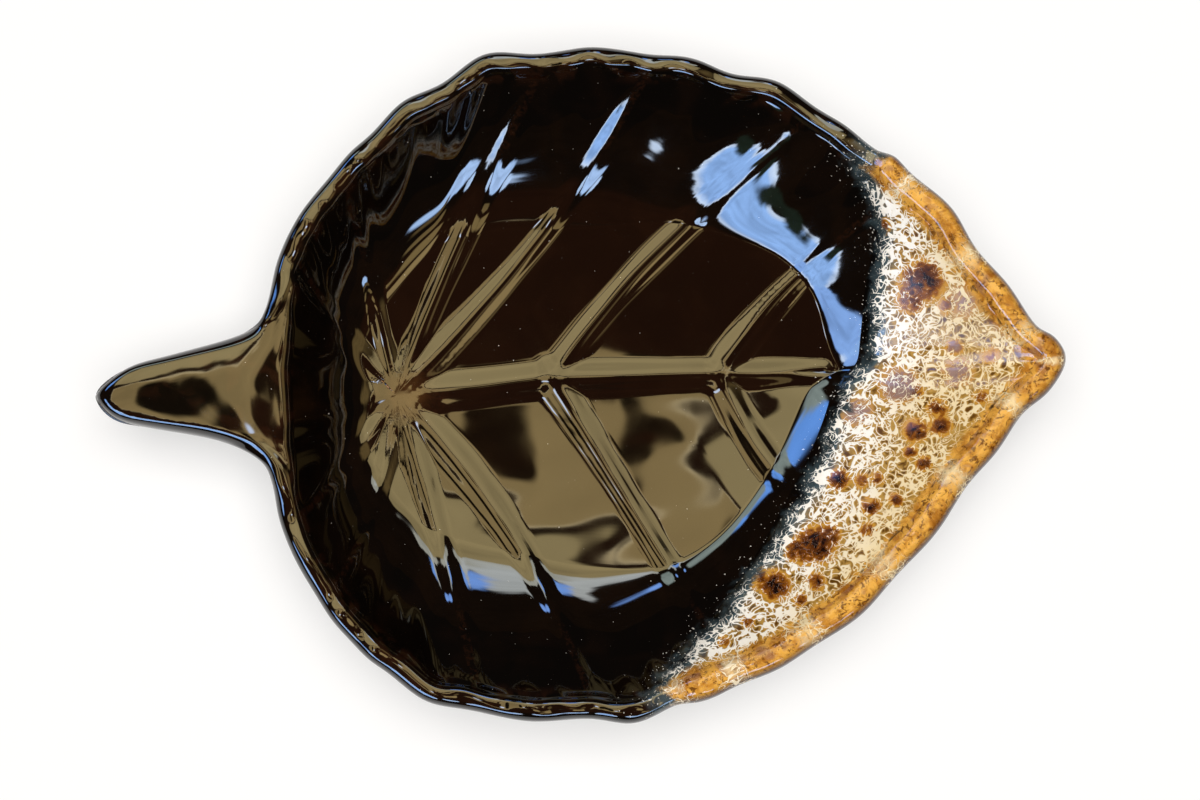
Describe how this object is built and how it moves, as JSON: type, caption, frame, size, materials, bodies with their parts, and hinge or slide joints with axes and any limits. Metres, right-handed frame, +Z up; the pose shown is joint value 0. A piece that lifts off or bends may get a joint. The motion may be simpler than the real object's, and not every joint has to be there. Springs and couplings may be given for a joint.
{
  "type": "leaf shaped plate",
  "caption": "Leaf shaped ceramic plate with raised veins, a lobed rolled rim and a stem to hold it by, glazed dark brown with a frothy cream glaze poured over the tip.",
  "frame": {"origin": "on the table under the middle of the overall length and width", "axes": "+X from the stem to the leaf tip, +Z up out of the bowl"},
  "size_m": [0.2428, 0.1694, 0.0328],
  "materials": {
    "bare_clay": "matte",
    "dark_glaze": "gloss",
    "froth_glaze": "gloss"
  },
  "bodies": {
    "root": {"clay_body": "bare_clay", "foot_pad": "bare_clay", "inside_glaze": "dark_glaze", "outside_glaze": "dark_glaze", "tip_glaze": "froth_glaze"}
  },
  "joints": []
}
